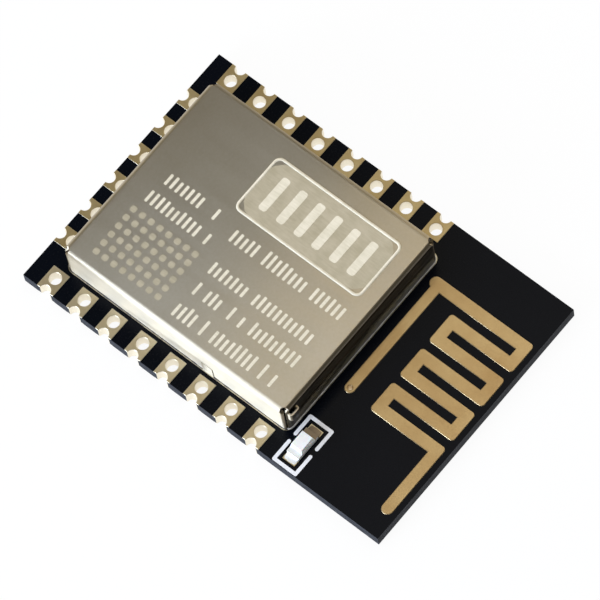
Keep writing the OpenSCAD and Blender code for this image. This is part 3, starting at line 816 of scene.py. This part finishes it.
def laser_marks():
    """All the marks, placed from the middle of the can's top."""
    strokes = strokes_tree()
    bright = frost_material("bright_frost", MARK_COLOURS, metal=0.0)
    dull = frost_material("dull_frost", PANEL_COLOURS, metal=0.5)

    def place(x, y, lift=0.0):
        return Vector((can_mid.x + x, can_mid.y + y, can_high.z - MARK_SUNK + lift)) * MM

    def rows(name, finish, start, count, step, length, width, lines=1, line_step=0.0, shortest=1.0,
             kept=1.0, seed=0, lift=0.0):
        corner = min(length, width) * MARK_CORNER_SHARE * MM
        grow(name, strokes, "tinned_sheet", start=place(*start, lift), count=count, step=(0, step * MM, 0),
             rows=lines, row_step=(line_step * MM, 0, 0), length=length * MM, width=width * MM,
             corner=corner, depth=MARK_DEPTH * MM, shortest=shortest, kept=kept, seed=seed, finish=finish)

    for number, (foot, start, end, length) in enumerate(STROKE_ROWS, 1):
        count = round((end - start) / STROKE_STEP) + 1
        rows(f"mark_strokes_{number}", bright, (foot, start), count, STROKE_STEP, length, STROKE_W,
             shortest=STROKE_SHORTEST, kept=STROKE_KEPT, seed=number)
    dots_foot = (DOTS_LOW[0] + DOT_W / 2, DOTS_LOW[1] + DOT_W / 2)
    rows("mark_dots", dull, dots_foot, DOTS_ALONG, DOT_STEP, DOT_W, DOT_W, DOTS_ACROSS, DOT_STEP)
    wide, tall = (high - low for low, high in zip(PANEL_LOW, PANEL_HIGH))
    mid = [(low + high) / 2 for low, high in zip(PANEL_LOW, PANEL_HIGH)]
    rows("mark_panel", dull, (PANEL_HIGH[0], mid[1]), 1, 0, wide, tall)
    grow("mark_border", border_tree(), "tinned_sheet", centre=place(*mid, MARK_DEPTH), width=wide * MM,
         height=tall * MM, corner=PANEL_CORNER * MM, line=PANEL_LINE * MM, depth=MARK_DEPTH * MM,
         finish=bright)
    bar_step = tall / (PANEL_BARS + 1)
    bars_foot = (mid[0] + PANEL_BAR_LEN / 2, PANEL_LOW[1] + bar_step)
    rows("mark_bars", bright, bars_foot, PANEL_BARS, bar_step, PANEL_BAR_LEN, PANEL_BAR_W,
         lift=MARK_DEPTH / 2)


laser_marks()


# ---- Solder seam ----
# The can's rim is soldered to the land round it, in a thin and uneven bead. Along the long side on the
# right it is painted dark: painted shade, for the shadow line at the foot of the wall.

SEAM_COLOURS = ((0.60, 0.58, 0.54, 1), (0.78, 0.76, 0.72, 1))
SEAM_PAINTED_SHADE = (0.035, 0.03, 0.03, 1)
SEAM_SHADE_IN = 0.1
SEAM_METAL = 0.3
SEAM_BEAD = 0.055
SEAM_POINTS = 360
SEAM_SIDES = 8
SEAM_LUMPS = 2.2
SEAM_THINNEST = 0.35
SEAM_THICKEST = 1.25


def seam_tree():
    """Uneven bead along a rectangle with round corners."""
    tree, given = new_tree("seam", centre="Vector", width="Float", height="Float", corner="Float",
                           bead="Float", points="Int", sides="Int", lumps="Float", thinnest="Float",
                           thickest="Float")
    g = given.outputs
    edge = rounded_rectangle(tree, g["width"], g["height"], g["corner"], points=8)
    inputs = {"Curve": edge, "Count": g["points"]}
    spaced = add(tree, "GeometryNodeResampleCurve", inputs, mode="COUNT")
    inputs = {"Resolution": g["sides"], "Radius": g["bead"]}
    section = add(tree, "GeometryNodeCurvePrimitiveCircle", inputs, mode="RADIUS")
    spot = add(tree, "GeometryNodeInputPosition")
    inputs = {"Vector": spot.outputs[0], "Scale": g["lumps"], "Detail": 3.0}
    lumps = add(tree, "ShaderNodeTexNoise", inputs)
    swell = ranged(tree, lumps.outputs[0], *NOISE_SPAN, g["thinnest"], g["thickest"])
    inputs = {"Curve": spaced.outputs[0], "Profile Curve": section.outputs[0], "Scale": swell}
    swept = add(tree, "GeometryNodeCurveToMesh", inputs)
    inputs = {"Geometry": swept.outputs[0], "Translation": g["centre"]}
    placed = add(tree, "GeometryNodeTransform", inputs)
    smoothed = add(tree, "GeometryNodeSetShadeSmooth", {"Geometry": placed.outputs[0]})
    end_tree(tree, given, smoothed.outputs[0])
    return tree


def place_axes(tree):
    """X, Y and Z of the place on the object, in metres."""
    coord = add(tree, "ShaderNodeTexCoord")
    return add(tree, "ShaderNodeSeparateXYZ", {0: coord.outputs["Object"]}).outputs


def seam_material():
    """Bright solder, with painted shade along the long side on the right."""
    made = copper_material("seam_tin", SEAM_COLOURS, roughness=0.3, lumps=2.0)
    tree = made.node_tree
    shader = tree.nodes["Principled BSDF"]
    shader.inputs["Metallic"].default_value = SEAM_METAL
    # Painted shade: the bead is painted dark past this line, on the long side on the right
    edge = (can_high.x - SEAM_SHADE_IN) * MM
    shaded_side = math_node(tree, "GREATER_THAN", place_axes(tree)["X"], edge)
    bright_solder = shader.inputs["Base Color"].links[0].from_socket
    colour_with(tree, shader, mix_colour(tree, shaded_side, bright_solder, SEAM_PAINTED_SHADE))
    return made


can_size = can_high - can_low
grow("solder_seam", seam_tree(), "tinned_terminal", centre=Vector((can_mid.x, can_mid.y, can_low.z)) * MM,
     width=can_size.x * MM, height=can_size.y * MM, corner=CORNER_R * MM, bead=SEAM_BEAD * MM,
     points=SEAM_POINTS, sides=SEAM_SIDES, lumps=SEAM_LUMPS / MM, thinnest=SEAM_THINNEST,
     thickest=SEAM_THICKEST, finish=seam_material())


# ---- Indicator light ----
# A chip light: flat white resin base with wrapped tin terminals, and a cast milky lens on it. Solder is
# drawn up both its ends in hollow fillets, fresh on the outer end and stained by flux on the inner one.

RESIN_COLOURS = ((0.80, 0.80, 0.76, 1), (0.88, 0.88, 0.85, 1))
LENS_COLOURS = ((0.88, 0.90, 0.86, 1), (0.93, 0.94, 0.91, 1))
FRESH_COLOURS = ((0.84, 0.84, 0.80, 1), (0.94, 0.94, 0.91, 1))
FLUX_COLOUR = (0.30, 0.23, 0.15, 1)
LIGHT_ROUND = 0.02
LENS_MILKY = 0.25
LENS_DEPTH = 0.2
SOLDER_METAL = 0.4


def resin_material(name, colours, roughness, per_mm=3.0):
    """Moulded resin or fired ceramic, mottled between two tones."""
    made, tree, shader, place = material(name)
    cloud = noise(tree, place, per_mm, detail=3.0)
    grain = noise(tree, place, per_mm=20.0)
    colour_with(tree, shader, mix_colour(tree, cloud, *colours))
    rough_with(tree, shader, grain, roughness - 0.06, roughness + 0.06)
    bump(tree, shader, grain, depth_mm=0.002, strength=0.4)
    return made


def lens_material():
    """Milky cast resin that the light sinks into."""
    made = resin_material("lens_resin", LENS_COLOURS, roughness=0.25)
    shader = made.node_tree.nodes["Principled BSDF"]
    shader.inputs["Subsurface Weight"].default_value = LENS_MILKY
    shader.inputs["Subsurface Scale"].default_value = LENS_DEPTH * MM
    return made


def terminal_material():
    """Fresh solder on the light's outer end, and solder stained by flux on its inner end."""
    made = copper_material("light_solder", FRESH_COLOURS, roughness=0.5, lumps=2.0)
    tree = made.node_tree
    shader = tree.nodes["Principled BSDF"]
    shader.inputs["Metallic"].default_value = SOLDER_METAL
    low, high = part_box("light_base")
    outer = math_node(tree, "GREATER_THAN", place_axes(tree)["X"], (low.x + high.x) / 2)
    fresh = shader.inputs["Base Color"].links[0].from_socket
    colour_with(tree, shader, mix_colour(tree, outer, FLUX_COLOUR, fresh))
    return made


rounded_copy("light_cast_lens", "light_lens", LIGHT_ROUND, lens_material(), "light_lens")
dress(resin_material("base_resin", RESIN_COLOURS, roughness=0.45), "light_base")
light_solder = terminal_material()
dress(light_solder, "light_terminals")

FILLET_UP = 0.8
FILLET_STEPS = 6
FILLET_IN = 0.06
FILLET_TOE = 0.02
# How far across the light each section of the fillet stands, and how full it is there
FILLET_SECTIONS = ((0, 0.6), (0.06, 0.9), (0.5, 1), (0.94, 0.9), (1, 0.6))


def solder_fillet(name, side):
    """Solder drawn up one end of the light, from the land's outer edge in a hollow curve."""
    low, high = (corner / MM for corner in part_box("light_terminals"))
    land_low, land_high = (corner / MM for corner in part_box("light_lands"))
    wall = high.x if side > 0 else low.x
    toe = (land_high.x if side > 0 else land_low.x) - side * FILLET_TOE
    floor = land_high.z
    top = floor + (high.z - floor) * FILLET_UP
    rings = []
    for share, pull in FILLET_SECTIONS:
        y = low.y + FILLET_IN / 2 + (high.y - low.y - FILLET_IN) * share
        back = wall - side * FILLET_IN
        ring = [(back, y, floor), (back, y, floor + (top - floor) * pull)]
        for step in range(FILLET_STEPS + 1):
            turn = math.radians(90 * step / FILLET_STEPS)
            out = (1 - math.cos(turn)) * (toe - wall) * pull
            ring.append((wall + out, y, floor + (top - floor) * pull * (1 - math.sin(turn))))
        rings.append(ring)
    piece = loft(name, rings)
    piece.data.materials.append(light_solder)
    smooth(piece, SHARP_DEGREES)
    hand_over(piece, "tinned_terminal")


solder_fillet("solder_fillet_outer", 1)
solder_fillet("solder_fillet_inner", -1)


# ---- Printed outline ----
# White ink screened on the mask as two brackets round the indicator light, which show where it is to
# be soldered.

INK_COLOURS = ((0.80, 0.80, 0.82, 1), (0.90, 0.90, 0.92, 1))

dress(resin_material("white_ink", INK_COLOURS, roughness=0.55, per_mm=6.0), "light_outline")


# ---- Chips and small parts under the can ----
# Black moulded packages, a crystal in a ceramic dish with a metal lid, and chip capacitors, resistors
# and inductors. They are closed in, and are finished for the day that the can is taken off.

MOULDING_COLOURS = ((0.012, 0.012, 0.013, 1), (0.022, 0.022, 0.024, 1))
CRYSTAL_COLOURS = ((0.24, 0.19, 0.13, 1), (0.32, 0.26, 0.18, 1))
CAPACITOR_COLOURS = ((0.28, 0.17, 0.08, 1), (0.36, 0.24, 0.13, 1))
INDUCTOR_COLOURS = ((0.06, 0.11, 0.22, 1), (0.10, 0.16, 0.28, 1))
TIN_COLOURS = ((0.66, 0.65, 0.61, 1), (0.80, 0.79, 0.75, 1))

dress(resin_material("chip_moulding", MOULDING_COLOURS, roughness=0.5), "processor_chip", "flash_chip")
bright_tin = copper_material("bright_tin", TIN_COLOURS, roughness=0.24, lumps=2.0)
dress(bright_tin, "flash_leads", "processor_contacts")
dress(resin_material("crystal_dish", CRYSTAL_COLOURS, roughness=0.5), "crystal_base")
dress(copper_material("plated_lid", TIN_COLOURS, roughness=0.2, lumps=1.0), "crystal_lid")
for finish, kind in ((resin_material("capacitor_body", CAPACITOR_COLOURS, roughness=0.5), "capacitor_"),
                     (resin_material("resistor_glaze", MOULDING_COLOURS, roughness=0.3), "resistor_"),
                     (resin_material("inductor_body", INDUCTOR_COLOURS, roughness=0.5), "inductor_")):
    dress(finish, *[name for name in nodes if name.startswith(kind)])
